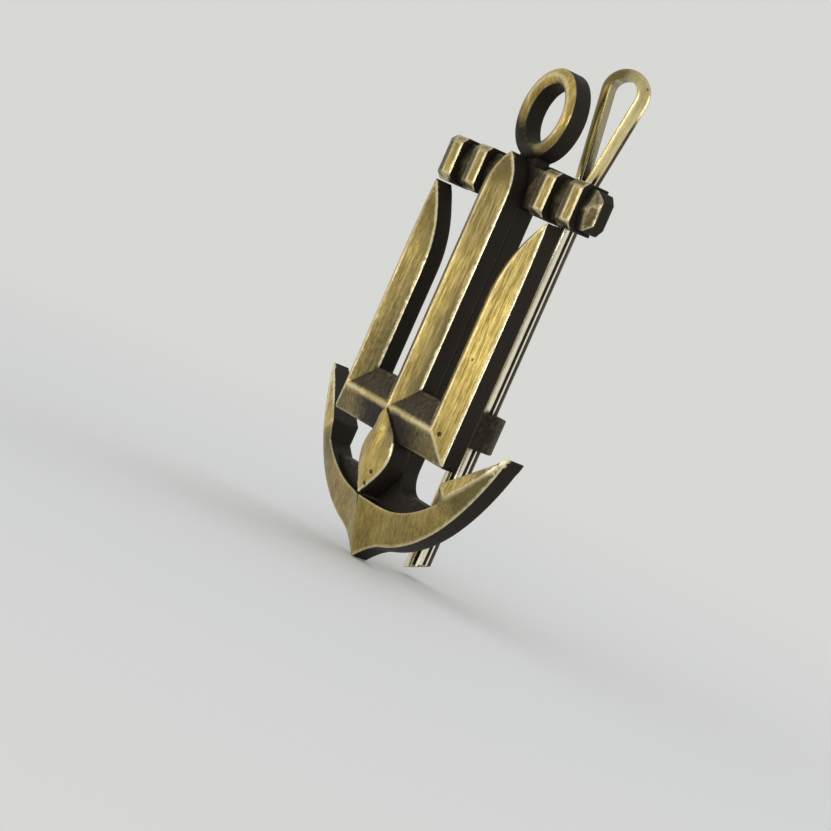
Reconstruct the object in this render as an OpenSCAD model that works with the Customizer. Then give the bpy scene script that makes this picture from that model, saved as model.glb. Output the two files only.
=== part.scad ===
// Anchor and trident shank button: a struck anchor with a trident laid over its shank,
// two strap lugs on the back and a split pin that holds it on cloth.
// Front faces -Y, the head ring is at +Z. The origin is on the back, behind the crossing of the trident.

/* [Anchor] */
// Thickness of the anchor plate
plate_t = 1.4; // [1:0.1:2]
// Width of the shank
shank_w = 4; // [3.8:0.1:5]
// Radius of the outer edge of the arms
arm_r = 15.1; // [14.5:0.1:17]
// Height of the centre of the arms' curve above the crossing
arm_centre_z = 5; // [4:0.1:5.5]
// Width of the arms at the crown
crown_w = 3.2; // [2.6:0.1:3.6]
// Width of the arms where the flukes start
arm_w = 1.8; // [1.4:0.1:2.4]
// Length of the point below the crown
crown_point = 1.4; // [0.5:0.1:2.5]
// Rise of the ridge at the crown above the plate
crown_rise = 1.7; // [1:0.1:2]
// Rise of the arms' inner edge above the plate
arm_rise = 0.6; // [0.3:0.1:0.9]
// Angle from the crown to the start of a fluke
fluke_start_a = 44; // [40:1:46]
// Angle from the crown to the barb of a fluke
barb_a = 48.5; // [47.5:0.5:52]
// Angle from the crown to the tip of a fluke
tip_a = 73.5; // [68:0.5:78]
// Height of the barb inside the arm's inner edge
barb_h = 1; // [0.5:0.1:1.4]
// Rise of the barb above the plate
barb_rise = 1.05; // [0.6:0.05:1.4]

/* [Trident] */
// Distance from the centre spear to each outer prong
prong_pitch = 7.2; // [6.6:0.1:8]
// Width of an outer prong
prong_w = 3.9; // [3:0.1:4.4]
// Width of the centre spear
spear_w = 4.1; // [3.6:0.1:4.6]
// Width of the crossbar
bar_w = 4.3; // [3.6:0.1:4.8]
// Greatest width of the leaf below the crossing
leaf_w = 4.5; // [4:0.1:5]
// Height of the upright side walls
wall_t = 1.4; // [1:0.1:1.8]
// Height of the ridges above the side walls
ridge_h = 1; // [0.7:0.05:1.4]
// Length over which an outer prong narrows to its point
prong_tip_l = 6.6; // [5:0.1:8]
// Length over which the spear narrows to its point
spear_tip_l = 4.5; // [3.5:0.1:6]

/* [Stock] */
// Height of the stock's centre line above the crossing
stock_z = 19.1; // [17:0.1:21]
// Length of the stock
stock_l = 23.6; // [23:0.1:27]
// Height of the bar
stock_h = 3.16; // [2.9:0.02:3.6]
// Height of the low ridge along the bar
stock_ridge = 0.35; // [0.2:0.05:0.6]
// Bevel at each end of the bar
stock_bevel = 0.6; // [0.3:0.05:0.9]
// Distance from the middle to the inner collars
collar_x = 5.4; // [4.5:0.1:5.8]
// Distance from an inner collar to the outer one
collar_pitch = 4; // [3:0.1:4.3]
// Width of a collar
collar_w = 2; // [1.4:0.1:2.4]
// How far the collars stand past the bar's top and bottom
collar_over = 0.25; // [0.15:0.05:0.4]
// Rise of a collar's ridge above the plate
collar_rise = 1; // [0.8:0.05:1.3]

/* [Head ring] */
// Outer diameter of the ring
ring_od = 7.2; // [6:0.1:8]
// Hole of the ring
ring_id = 4.7; // [4.2:0.1:5.2]
// Width of the neck below the ring
neck_w = 2.6; // [2:0.1:3.4]
// Gap between the stock and the ring that the neck fills
neck_l = 0.42; // [0.2:0.02:1]
// Height of the ring's rounded front above the plate
ring_dome = 0.4; // [0.2:0.05:0.5]

/* [Lugs and split pin] */
// Distance from the back of the plate to the pin's axis
pin_reach = 4.3; // [3.8:0.05:6]
// Diameter of the closed pin
pin_d = 1.9; // [1.6:0.1:2.2]
// Thickness of a lug's strap
lug_t = 0.75; // [0.5:0.05:0.85]
// Width of a lug along the pin
lug_w = 2.9; // [2:0.1:3.2]
// Height of the lower lug's centre above the crossing
lower_lug_z = 0.9; // [-0.5:0.1:2]
// Height of the upper lug's centre above the stock's centre line
upper_lug_up = 0.6; // [0:0.1:0.8]
// Length of the legs below the eye
leg_l = 32.3; // [30:0.1:36]
// Outer width of the eye
eye_w = 3.9; // [3.6:0.1:4.8]
// Length of the eye
eye_l = 9.2; // [7.5:0.1:10.5]
// How far the pin is turned in its lugs at rest, in degrees
pin_turn = 50; // [-90:1:90]

/* [Hidden] */
// Radial clearance of the pin in the lugs
pin_clear = 0.05;
// Gap between the flat faces of the pin's legs
leg_gap = 0.2;
// Gap between pieces that come close without touching
near_gap = 0.15;
// Gap between the eye and the upper lug at rest
eye_gap = 0.15;
// Swell of the wire where the eye is bent
eye_swell = 0.02;
// Overlap of the eye's bend with its strands, in degrees
eye_lap = 1;
// Slant at which the ends of the legs are nipped off
nip_a = 25;
// Width left at a point, so that it stays a solid
point_w = 0.12;
// Half angle that the crown's point and ridge take up
crown_a = 13;
// How far the flukes' outer edge flares at the tip
fluke_flare = 0.3;
// How far the prongs' outer edge draws in at the tip
prong_draw = 0.2;
// Height of the web in the crown above the arms' inner edge
web_rise = 1.6;
// Radius between the web and the shank
crotch_r = 1.8;
// Drop from the leaf's ridge to its edges
leaf_drop = 0.72;
// Share of the leaf's length over which its edges come down from the crossing
leaf_fall = 0.32;
// How far the leaf's ridge stands above the other ridges where they meet
leaf_proud = 0.02;
// Bevel at the ends of a collar
collar_bevel = 0.45;
// Drop from a collar's ridge to its long edges, and from those to its ends
collar_slope = 0.2;
collar_drop = 0.4;
// Drop of the bar's front at its bevelled ends
end_drop = 0.45;
// Steps along each curved stretch
steps = 12;

antique_brass = [0.6, 0.5, 0.28];
dark_brass = [0.42, 0.34, 0.2];
pin_brass = [0.85, 0.77, 0.55];

edge_y = plate_t + wall_t;
ridge_y = edge_y + ridge_h;
stock_low_z = stock_z - stock_h / 2;
stock_top_z = stock_z + stock_h / 2;
collar_low_z = stock_low_z - collar_over;
prong_tip_z = collar_low_z - near_gap;
spear_tip_z = stock_top_z + neck_l;
arm_inner_z = arm_centre_z - arm_r + crown_w;
leaf_tip_z = arm_inner_z + near_gap;
web_z = arm_inner_z + web_rise;
web_r = arm_r - arm_w / 2;
web_a = acos((arm_centre_z - web_z) / web_r);
ring_r = ring_od / 2;
hole_r = ring_id / 2;
ring_z = stock_top_z + neck_l + ring_r;
seat_half = spear_w / 2 + near_gap;
upper_lug_z = stock_z + upper_lug_up;
pin_r = pin_d / 2;
slot_r = pin_r + pin_clear;
leg_t = pin_r - leg_gap / 2;
neck_z = upper_lug_z + lug_w / 2 + eye_gap;
pin_end_z = neck_z - leg_l;
eye_r = eye_w / 2 - leg_t;
eye_z = neck_z + eye_l - eye_w / 2;
eye_lean = asin(eye_r / norm([eye_z - neck_z, leg_gap / 2])) - atan(leg_gap / 2 / (eye_z - neck_z));
strand_l = sqrt(pow(eye_z - neck_z, 2) + pow(leg_gap / 2, 2) - pow(eye_r, 2));

// A value between a and b
function mix(a, b, t) = a + (b - a) * t;

// A list of n steps from a to b, without b
function run(a, b, n) = [for (i = [0 : n - 1]) mix(a, b, i / n)];

// The mirror image of a section across the middle plane
function mirrored(section) = [for (p = section) [-p[0], p[1], p[2]]];

function reversed(list) = [for (i = [len(list) - 1 : -1 : 0]) list[i]];

// Closed skin through a row of five-point sections: back, edge, ridge, edge, back
module skin(sections) {
  n = 5;
  last = (len(sections) - 1) * n;
  sides = [
    for (i = [0 : len(sections) - 2], j = [0 : n - 1])
      let (a = i * n + j, b = i * n + (j + 1) % n)
        each [[a, b, b + n], [a, b + n, a + n]]
  ];
  fan = [[2, 1, 0], [2, 0, 4], [2, 4, 3]];
  far_fan = [for (f = fan) [for (k = reversed(f)) last + k]];
  polyhedron([for (s = sections) each s], concat(sides, fan, far_fan));
}

// Outer radius of the arms at an angle from the crown
function arm_outer(a) =
  arm_r
  + crown_point * pow(max(0, 1 - a / crown_a), 2)
  + fluke_flare * pow(max(0, (a - barb_a) / (tip_a - barb_a)), 2);

// Inner radius: it tapers along the arm, then runs straight from the barb to the fluke's tip
barb_r = arm_r - arm_w - barb_h;
tip_r = arm_r + fluke_flare - point_w;
function arm_inner(a) =
  a <= fluke_start_a
  ? arm_r - mix(crown_w, arm_w, a / fluke_start_a)
  : barb_r * tip_r * sin(tip_a - barb_a) / (barb_r * sin(a - barb_a) + tip_r * sin(tip_a - a));

// Rise of the inner edge and of the crease, above the plate
function arm_inner_rise(a) =
  a <= fluke_start_a
  ? mix(arm_rise, crown_rise, pow(max(0, 1 - a / crown_a), 1.5))
  : mix(barb_rise, 0, (a - barb_a) / (tip_a - barb_a));
function arm_crease_rise(a) = arm_inner_rise(a) * mix(0.5, 0.9, pow(min(1, a / fluke_start_a), 2));

function arm_point(a, r, y) = [r * sin(a), -y, arm_centre_z - r * cos(a)];

function arm_section(a) = [
  arm_point(a, arm_inner(a), 0),
  arm_point(a, arm_inner(a), plate_t + arm_inner_rise(a)),
  arm_point(a, (arm_inner(a) + arm_outer(a)) / 2, plate_t + arm_crease_rise(a)),
  arm_point(a, arm_outer(a), plate_t),
  arm_point(a, arm_outer(a), 0)
];

// Right half of the shank's outline, with the web that fills the crown
function shank_outline() = concat(
  [[shank_w / 2, stock_low_z]],
  [for (a = run(180, 270, steps)) [shank_w / 2 + crotch_r * (1 + cos(a)), web_z + crotch_r * (1 + sin(a))]],
  [[shank_w / 2 + crotch_r, web_z]],
  [for (a = run(web_a, 0, steps)) [web_r * sin(a), arm_centre_z - web_r * cos(a)]]
);

module anchor() {
  angles = concat(
    run(0, crown_a, steps),
    run(crown_a, fluke_start_a, steps),
    [fluke_start_a],
    run(barb_a, tip_a, steps),
    [tip_a]
  );
  half = [for (a = angles) arm_section(a)];
  left = [for (i = [1 : len(half) - 1]) mirrored(half[i])];
  right = shank_outline();
  color(antique_brass) union() {
    skin(concat(reversed(half), left));
    rotate([90, 0, 0]) linear_extrude(plate_t)
      polygon(concat(right, [for (p = reversed(right)) [-p[0], p[1]]]));
  }
}

// Section of the stock at x, with a half height, an edge height and a ridge height
function stock_section(x, half_h, edge, ridge) = [
  [x, 0, stock_z - half_h],
  [x, -edge, stock_z - half_h],
  [x, -ridge, stock_z],
  [x, -edge, stock_z + half_h],
  [x, 0, stock_z + half_h]
];

module stock_bar() {
  end = stock_l / 2;
  half_h = stock_h / 2;
  peak = plate_t + stock_ridge;
  half = [
    stock_section(seat_half, half_h, plate_t, plate_t),
    stock_section(seat_half + stock_ridge, half_h, plate_t, peak),
    stock_section(end - stock_bevel, half_h, plate_t, peak),
    stock_section(end, half_h - stock_bevel, plate_t - end_drop, plate_t - end_drop)
  ];
  color(antique_brass) skin(concat([for (s = reversed(half)) mirrored(s)], half));
}

// Section of a collar round x at height z, with the rise of its edges and of its ridge
function collar_section(x, z, edge, ridge) = [
  [x + collar_w / 2, 0, z],
  [x + collar_w / 2, -edge, z],
  [x, -ridge, z],
  [x - collar_w / 2, -edge, z],
  [x - collar_w / 2, 0, z]
];

module collar(x) {
  top_z = stock_top_z + collar_over;
  peak = plate_t + collar_rise;
  edge = peak - collar_slope;
  low = edge - collar_drop;
  difference() {
    skin([
      collar_section(x, collar_low_z, low, low),
      collar_section(x, collar_low_z + collar_bevel, edge, peak),
      collar_section(x, top_z - collar_bevel, edge, peak),
      collar_section(x, top_z, low, low)
    ]);
    stock_bar();
  }
}

module collar_left_outer() {
  color(antique_brass) collar(-collar_x - collar_pitch);
}

module collar_left_inner() {
  color(antique_brass) collar(-collar_x);
}

module collar_right_inner() {
  color(antique_brass) collar(collar_x);
}

module collar_right_outer() {
  color(antique_brass) collar(collar_x + collar_pitch);
}

module head_ring() {
  tube_r = (ring_r - hole_r) / 2;
  dome_r = (tube_r * tube_r + ring_dome * ring_dome) / (2 * ring_dome);
  color(antique_brass) translate([0, 0, ring_z]) rotate([90, 0, 0]) {
    rotate_extrude($fn = 96) {
      translate([hole_r, 0])
        square([2 * tube_r, plate_t]);
      intersection() {
        translate([hole_r + tube_r, plate_t + ring_dome - dome_r])
          circle(dome_r, $fn = 96);
        translate([hole_r, plate_t])
          square([2 * tube_r, ring_dome]);
      }
    }
    difference() {
      translate([-neck_w / 2, -ring_r - neck_l, 0])
        cube([neck_w, ring_r, plate_t]);
      translate([0, 0, -plate_t])
        cylinder(r = hole_r + tube_r, h = 3 * plate_t, $fn = 96);
    }
  }
}

// Section of the right outer prong at height z
function prong_section(z) =
  let (
    t = max(0, 1 - (prong_tip_z - z) / prong_tip_l),
    outer = prong_pitch + prong_w / 2 - prong_draw * t * t,
    inner = prong_pitch - prong_w / 2 + (prong_w - prong_draw - point_w) * pow(t, 2.1),
    peak = edge_y + ridge_h * (outer - inner) / prong_w
  )
  [
    [inner, -plate_t, z],
    [inner, -edge_y, z],
    [(inner + outer) / 2, -peak, z],
    [outer, -edge_y, z],
    [outer, -plate_t, z]
  ];

// Mitred corner between the right prong and the crossbar
function fork_corner() = [
  [prong_pitch - prong_w / 2, -plate_t, bar_w / 2],
  [prong_pitch - prong_w / 2, -edge_y, bar_w / 2],
  [prong_pitch, -ridge_y, 0],
  [prong_pitch + prong_w / 2, -edge_y, -bar_w / 2],
  [prong_pitch + prong_w / 2, -plate_t, -bar_w / 2]
];

module fork() {
  tip_zs = run(prong_tip_z, prong_tip_z - prong_tip_l, steps);
  right = concat([for (z = tip_zs) prong_section(z)],
                 [prong_section(prong_tip_z - prong_tip_l), fork_corner()]);
  skin(concat(right, [for (s = reversed(right)) mirrored(s)]));
}

// Section of the spear at height z; its foot is buried in the crossbar
function spear_section(z) =
  let (
    half = max(point_w, spear_w * (1 - pow(max(0, 1 - (spear_tip_z - z) / spear_tip_l), 3.5))) / 2,
    peak = z < 0 ? edge_y + point_w : mix(edge_y, ridge_y, 2 * half / spear_w)
  )
  [
    [half, -plate_t, z],
    [half, -edge_y, z],
    [0, -peak, z],
    [-half, -edge_y, z],
    [-half, -plate_t, z]
  ];

module spear() {
  heights = concat([-bar_w / 4, 0], run(spear_tip_z - spear_tip_l, spear_tip_z, steps), [spear_tip_z]);
  skin([for (z = heights) spear_section(z)]);
}

// Section of the leaf at a share t of its length: it starts as a point in the crossing,
// where its edges are as high as its ridge, and the ridge dips to the edges at the tip
function leaf_section(t) =
  let (
    z = leaf_tip_z * t,
    half = max(point_w, leaf_w * sin(180 * t)) / 2,
    fall = min(1, t / leaf_fall),
    top = ridge_y + leaf_proud,
    edge = top - leaf_drop * fall * fall * (3 - 2 * fall),
    peak = top - leaf_drop * pow(max(0, 2 * t - 1), 2)
  )
  [
    [half, -plate_t, z],
    [half, -edge, z],
    [0, -peak, z],
    [-half, -edge, z],
    [-half, -plate_t, z]
  ];

// The leaf, with its root buried in the foot of the spear
module leaf() {
  root = [for (p = leaf_section(0)) [p[0], min(-plate_t, p[1] + 3 * point_w), point_w]];
  skin(concat([for (t = concat(run(1, 0, 3 * steps), [0])) leaf_section(t)], [root]));
}

module trident() {
  color(antique_brass) union() {
    fork();
    spear();
    leaf();
  }
}

// Strap bent round the pin, with its two ends on the back of the button
module lug(z) {
  translate([0, 0, z - lug_w / 2]) linear_extrude(lug_w) difference() {
    union() {
      translate([-slot_r - lug_t, 0])
        square([2 * (slot_r + lug_t), pin_reach]);
      translate([0, pin_reach])
        circle(slot_r + lug_t, $fn = 64);
    }
    translate([-slot_r, -lug_t])
      square([2 * slot_r, pin_reach + lug_t]);
    translate([0, pin_reach])
      circle(slot_r, $fn = 64);
  }
}

module upper_lug() {
  color(dark_brass) lug(upper_lug_z);
}

module lower_lug() {
  color(dark_brass) lug(lower_lug_z);
}

// Half-round wire section beside the pin's axis, its flat side half a gap away
module half_round(swell = 0) {
  intersection() {
    circle(pin_r + swell, $fn = 64);
    translate([-pin_d, leg_gap / 2 - swell])
      square([2 * pin_d, pin_d]);
  }
}

// One leg with the strand of the eye that leans away from it
module leg() {
  translate([0, 0, pin_end_z])
    linear_extrude(leg_l) half_round();
  translate([0, leg_gap / 2, neck_z]) rotate([-eye_lean, 0, 0]) translate([0, -leg_gap / 2, 0])
    linear_extrude(strand_l) half_round();
}

module split_pin() {
  color(pin_brass) translate([0, pin_reach, 0]) rotate(-pin_turn) difference() {
    union() {
      leg();
      rotate(180) leg();
      translate([0, 0, eye_z]) rotate([90, 0, 90]) rotate(-eye_lean - eye_lap)
        rotate_extrude(angle = 180 + 2 * (eye_lean + eye_lap), $fn = 96)
          translate([eye_r - leg_gap / 2, 0]) rotate(-90) half_round(eye_swell);
    }
    translate([0, -pin_r, pin_end_z]) rotate([nip_a, 0, 0]) translate([-pin_d, -pin_d, -2 * pin_d])
      cube([2 * pin_d, 5 * pin_d, 2 * pin_d]);
  }
}

anchor();
stock_bar();
collar_left_outer();
collar_left_inner();
collar_right_inner();
collar_right_outer();
head_ring();
trident();
upper_lug();
lower_lug();
split_pin();
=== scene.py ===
"""Anchor and trident shank button in antique brass, with its split pin."""

import math

import bmesh
import bpy
import numpy as np
from mathutils import Matrix, Vector
from mathutils.bvhtree import BVHTree
from mathutils.kdtree import KDTree


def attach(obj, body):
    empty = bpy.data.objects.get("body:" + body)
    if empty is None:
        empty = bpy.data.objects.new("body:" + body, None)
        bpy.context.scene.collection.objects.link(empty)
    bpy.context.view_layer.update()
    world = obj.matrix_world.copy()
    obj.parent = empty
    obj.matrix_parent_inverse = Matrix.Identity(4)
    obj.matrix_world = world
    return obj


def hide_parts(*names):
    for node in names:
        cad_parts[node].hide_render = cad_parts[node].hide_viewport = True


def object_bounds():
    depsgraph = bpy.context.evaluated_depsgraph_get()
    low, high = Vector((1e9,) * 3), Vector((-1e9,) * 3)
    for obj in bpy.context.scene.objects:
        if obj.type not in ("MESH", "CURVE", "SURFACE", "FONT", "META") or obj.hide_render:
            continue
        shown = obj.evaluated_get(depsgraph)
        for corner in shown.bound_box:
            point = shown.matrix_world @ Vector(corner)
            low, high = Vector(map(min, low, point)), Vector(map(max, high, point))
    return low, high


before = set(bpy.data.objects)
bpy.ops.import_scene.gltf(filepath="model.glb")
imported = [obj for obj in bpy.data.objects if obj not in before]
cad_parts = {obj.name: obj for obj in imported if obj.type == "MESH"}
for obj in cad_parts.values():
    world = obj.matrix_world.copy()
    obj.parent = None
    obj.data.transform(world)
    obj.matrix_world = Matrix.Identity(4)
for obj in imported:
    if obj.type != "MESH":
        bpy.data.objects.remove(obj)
cad_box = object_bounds()
MM = 0.001

# Sizes of the anchor in the part's source, in millimetres and degrees
PLATE_T = 1.4
ARM_R = 15.1
ARM_CENTRE_Z = 5
CROWN_W = 3.2
ARM_TAPER = 1.4
FLUKE_START_A = 44
FLUKE_TIP_X = 14.77
FLUKE_TIP_Z = 0.63

# Sizes of the trident
FORK_WALL_Y = 2.8
PRONG_TIP_X = 8.9
PRONG_TIP_Z = 17.1
SPEAR_TIP_Z = 21.1
LEAF_W = 4.5
LEAF_TIP_Y = 3.1
LEAF_TIP_Z = -6.75
CROSSING = (0, -3.8, 0)

# Sizes of the stock, its collars and the head ring
STOCK_Z = 19.1
STOCK_H = 3.16
STUB_X = 10.4
COLLAR_X = 5.4
COLLAR_PITCH = 4.0
RING_R = 3.6
HOLE_R = 2.35
RING_Z = 24.7
RING_DOME = 0.4
RING_TUBE = (RING_R - HOLE_R) / 2
RING_MIDDLE = HOLE_R + RING_TUBE
NECK_W = 2.6

# Sizes of the split pin, and the direction across its two legs
PIN_Y = 4.3
PIN_R = 0.95
LEG_GAP = 0.2
PIN_TURN = 50
PIN_END_Z = -11.0
PIN_NECK_Z = 21.3
EYE_W = 3.9
EYE_L = 9.2
NIP_A = 25
ACROSS_X = math.sin(math.radians(PIN_TURN))
ACROSS_Y = math.cos(math.radians(PIN_TURN))

# Points that stay sharp, because an edge's rounding has no room there
FLUKE_TIPS = [(side * FLUKE_TIP_X, -y, FLUKE_TIP_Z) for side in (-1, 1) for y in (0, PLATE_T)]
SPEAR_TIPS = [(0, -y, z) for z in (LEAF_TIP_Z, SPEAR_TIP_Z)
              for y in (PLATE_T, FORK_WALL_Y, LEAF_TIP_Y)]
PRONG_TIPS = [(side * PRONG_TIP_X, -y, PRONG_TIP_Z) for side in (-1, 1)
              for y in (PLATE_T, FORK_WALL_Y)]
TIP_REACH = 0.9

# Limits for the anchor's finish, in millimetres, and in degrees from the crown along the arms
SHANK_SIDE = 2.3
GROUND_FRONT_Y = -1.46
GROUND_BACK_Y = -1.0
CREASE_X = (0.05, 0.2)
CREASE_Z = (-8.6, -7.2)
LOWER_RIM_R = (13.2, 14.2)
OUTER_RIM_R = 14.2
DOME_START_A = (10, 20)
DOME_END_A = (46, 50)
# Where the painted dimming along the left arm starts and ends
PAINTED_DIM_START_A = (30, 40)
PAINTED_DIM_END_A = (44, 50)
FLUKE_A = (40, 54)
FLUKE_RIDGE_A = 47
# Fluke tips bright from rubbing and painted highlights, reaching further on the left than the right
WEAR_SHEEN_TIP_X = 14.7
WEAR_SHEEN_TIP_Z = 0.7
WEAR_SHEEN_TIP_RIGHT = 2.2
WEAR_SHEEN_TIP_LEFT = 5.0

# Limits for the trident's finish: half widths, heights, and the gap before the prongs
SPEAR_SIDE = 2.1
LEAF_SIDE = 2.4
BAR_SIDE = 2.3
BAR_ENDS_X = (2.0, 6.5)
BAR_RIDGE_Z = (0.08, 0.4)
PRONG_SIDE = 4
PRONG_RISE_Z = (4, 13)
PRONG_FOOT_Z = (0, 5)
HIGH_Z = (8, 15)
VALLEY_LOW_Z = -2.25
VALLEY_HIGH_Z = -0.15
LEAF_FREE_Z = -2.1

# How faces are joined and edges found, in degrees, and how far a face looks to the front
FLAT_A = 0.5
PAIR_A = 12
EDGE_A = 14
COLLAR_EDGE_A = 8
WIRE_EDGE_A = 40
CREASE_A = 28
FACING = 0.5
FRONT_FACE = 0.35

# Distances at which points count as one: in metres for doubles, in millimetres for the others
DOUBLES = 2e-7
SLIVER = 0.005
CROSSING_R = 0.1

# How far the edges of each piece are softened, in millimetres
ANCHOR_SOFT = 0.12
TRIDENT_SOFT = 0.13
STOCK_SOFT = 0.1
LUG_SOFT = 0.1
COLLAR_SOFT = 0.09
RING_SOFT = 0.1
NECK_SOFT = 0.15
WIRE_SOFT = 0.07

# How finely the pieces are divided: longest edges in millimetres, and points around
PIECE_STEP = 0.4
COLLAR_STEP = 0.3
RING_STEP = 0.5
WIRE_STEP = 0.6
WIRE_POINTS = 97
CORNER_SPARE = 3
RING_TURNS = 128

# How bright edges and the painted shade in hollows are measured, in millimetres
WEAR_GAP = 0.08
FAR = 9.0
COVER_RAYS = 20
COVER_REACH = 5.0
COVER_LIFT = 0.14
COVER_SKIN = 0.6
COVER_CLEAR = 0.05
DOME_ROUNDS = 10
DOME_RIM = (0.05, 0.35)

# Small pits that the casting left on the front, and cells per metre for finer ones
CAST_PITS = [(7.96, -3.41, 0.04), (0.98, -3.31, -4.94), (0.51, -3.18, -5.97), (5.14, -3.42, -0.81)]
CAST_PIT_RIM = 0.22
CAST_PIT_FLOOR = 0.14
PIT_CELLS = 620

# Marks of the finish, in cycles per millimetre
WIDE_LINES = 4.2
FINE_LINES = 12.0
STAIN_CLOUDS = 0.45
PATINA_SPECKS = 2.6

# Angles about the pin's axis of painted highlight lines along the legs, with how bright
PAINTED_HIGHLIGHT_LINES = ((-95, 0.9), (-80, 0.9), (-66, 0.9), (-36, 0.9), (-20, 1.0), (9, 1.0))

# Camera: its directions in the part's frame, its place in metres and its lens in millimetres
VIEW_RIGHT = Vector((0.4425, 0.8010, 0.4032))
VIEW_UP = Vector((-0.2497, -0.3218, 0.9133))
VIEW_BACK = Vector((0.8613, -0.5048, 0.0577))
CAMERA_PLACE = (0.19182, -0.11363, 0.01297)
SENSOR_W = 36.0
LENS = 128.62

# Soft lamps: name, direction from the part, distance, width, height, power and colour
PART_MIDDLE = (0.0, 0.0, 0.009)
LAMPS = [
    ("key_front", (-0.30, -0.94, -0.16), 0.42, 0.34, 0.25, 0.55, (1.0, 0.98, 0.94)),
    ("by_camera", (0.77, -0.64, -0.03), 0.60, 0.10, 0.30, 0.8, (1.0, 0.97, 0.93)),
    ("rim_right", (0.06, 1.00, -0.06), 0.40, 0.10, 0.35, 0.6, (1.0, 0.97, 0.92)),
]
FLOOR_HALF = 2.0
FLOOR_FADE = (0.04, 0.16)
SKY_COLOUR = (0.96, 0.98, 1.0, 1.0)
SKY_STRENGTH = 0.76


def rgb(red, green, blue):
    """Colour given in display values, as linear light with full alpha."""
    linear = [((c / 255 + 0.055) / 1.055) ** 2.4 if c > 10 else c / 255 / 12.92
              for c in (red, green, blue)]
    return (*linear, 1.0)


FLOOR_COLOUR = rgb(234, 234, 232)
PALE = rgb(216, 216, 213)


def new_object(name, data):
    """Object in the scene for a camera, a lamp or a mesh."""
    made = bpy.data.objects.new(name, data)
    bpy.context.scene.collection.objects.link(made)
    return made


# Node trees

def add_node(tree, kind, values=None, **settings):
    """Node with its settings, and with values or links on its inputs."""
    made = tree.nodes.new(kind)
    for key, value in settings.items():
        setattr(made, key, value)
    for key, value in (values or {}).items():
        put(tree, made.inputs[key], value)
    return made


def put(tree, socket, value):
    """Links an output to a socket, or writes a plain value on it."""
    if isinstance(value, bpy.types.NodeSocket):
        tree.links.new(value, socket)
    else:
        socket.default_value = value


def calc(tree, operation, first, second=0.0, third=0.0):
    """Output of a Math node."""
    made = add_node(tree, "ShaderNodeMath", operation=operation)
    for socket, value in zip(made.inputs, (first, second, third)):
        put(tree, socket, value)
    return made.outputs[0]


def ease(tree, value, low, high):
    """Smooth step of a value between two limits."""
    made = add_node(tree, "ShaderNodeMapRange", {"Value": value, "From Min": low, "From Max": high},
                    interpolation_type="SMOOTHSTEP")
    return made.outputs["Result"]


def blend_colour(tree, share, first, second):
    """Mix of two colours by a share."""
    made = add_node(tree, "ShaderNodeMix", {0: share, 6: first, 7: second}, data_type="RGBA")
    return made.outputs[2]


def grain(tree, vector, scale, detail=3.0, rough=0.55, stretch=(1, 1, 1)):
    """Noise in cycles per millimetre over object coordinates."""
    placed = add_node(tree, "ShaderNodeMapping",
                      {"Vector": vector, "Scale": tuple(1000 * scale * s for s in stretch)})
    made = add_node(tree, "ShaderNodeTexNoise", {
        "Vector": placed.outputs[0], "Scale": 1.0, "Detail": detail, "Roughness": rough})
    return made.outputs["Fac"]


def attribute(tree, name):
    """Value painted on the mesh under a name."""
    return add_node(tree, "ShaderNodeAttribute", attribute_name=name).outputs["Fac"]


def seen_directly(tree):
    """1 for what the camera, gloss or glass shows, 0 for light on other surfaces."""
    ways = tree.nodes.new("ShaderNodeLightPath").outputs
    shown = calc(tree, "MAXIMUM", ways["Is Glossy Ray"], ways["Is Transmission Ray"])
    return calc(tree, "MAXIMUM", ways["Is Camera Ray"], shown)


def new_group(name, kind, inputs, outputs):
    """Empty node group with named sockets, what it is given and what it puts out."""
    tree = bpy.data.node_groups.new(name, kind)
    for socket, item, default in inputs:
        made = tree.interface.new_socket(socket, in_out="INPUT", socket_type=item)
        if default is not None:
            made.default_value = default
    for socket, item in outputs:
        tree.interface.new_socket(socket, in_out="OUTPUT", socket_type=item)
    return tree, tree.nodes.new("NodeGroupInput").outputs, tree.nodes.new("NodeGroupOutput").inputs


# Camera, lamps, floor and world

def make_camera():
    """Camera at the photograph's viewing angle."""
    data = bpy.data.cameras.new("photo_camera")
    data.sensor_width = SENSOR_W
    data.lens = LENS
    data.clip_start = 0.01
    camera = new_object("photo_camera", data)
    turned = Matrix((VIEW_RIGHT, VIEW_UP, VIEW_BACK)).transposed().to_4x4()
    camera.matrix_world = Matrix.Translation(CAMERA_PLACE) @ turned
    bpy.context.scene.camera = camera


def aim(direction, up):
    """Rotation that points an object's -Z along a direction."""
    back = -Vector(direction).normalized()
    right = Vector(up).cross(back).normalized()
    return Matrix((right, back.cross(right), back)).transposed().to_4x4()


def make_lamp(name, toward, distance, width, height, power, colour):
    """Upright area lamp in a direction from the middle of the part, aimed at it."""
    toward = Vector(toward).normalized()
    data = bpy.data.lights.new(name, "AREA")
    data.shape = "RECTANGLE"
    data.size = width
    data.size_y = height
    data.energy = power
    data.color = colour
    place = Vector(PART_MIDDLE) + toward * distance
    new_object(name, data).matrix_world = Matrix.Translation(place) @ aim(-toward, (0, 0, 1))


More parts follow.
